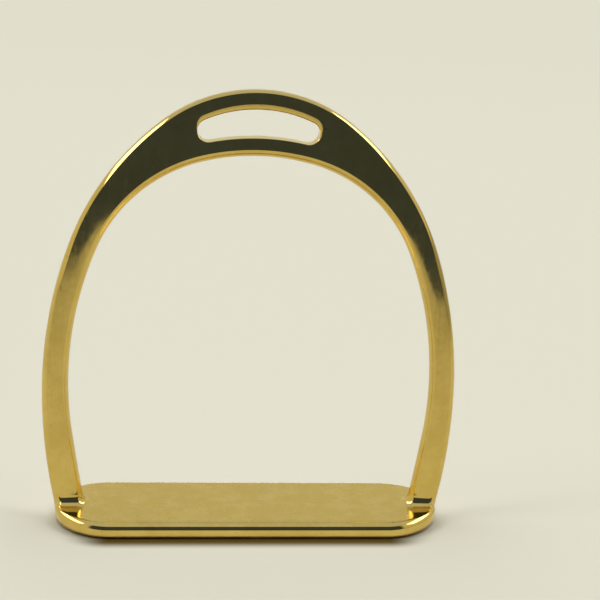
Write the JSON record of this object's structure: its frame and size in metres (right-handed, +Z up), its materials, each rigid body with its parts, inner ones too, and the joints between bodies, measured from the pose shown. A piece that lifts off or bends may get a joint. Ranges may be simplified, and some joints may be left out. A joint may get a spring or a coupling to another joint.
{
  "type": "stirrup iron",
  "caption": "Brass-coloured riding stirrup iron: a flat-faced arched bow with a curved leather slot on a flat, round-ended tread plate.",
  "frame": {"origin": "centre of the tread plate's underside", "axes": "+Z up towards the leather slot, +X along the tread, +Y to the back"},
  "size_m": [0.147, 0.0406, 0.155],
  "materials": {
    "polished_brass": "polished, with fine grinding lines on the flat faces",
    "cast_skin_brass": "satin cast skin on top, polished rim",
    "braze": "polished"
  },
  "bodies": {
    "root": {"bow": "polished_brass", "tread_plate": "cast_skin_brass", "left_braze_bead": "braze", "right_braze_bead": "braze"}
  },
  "joints": []
}
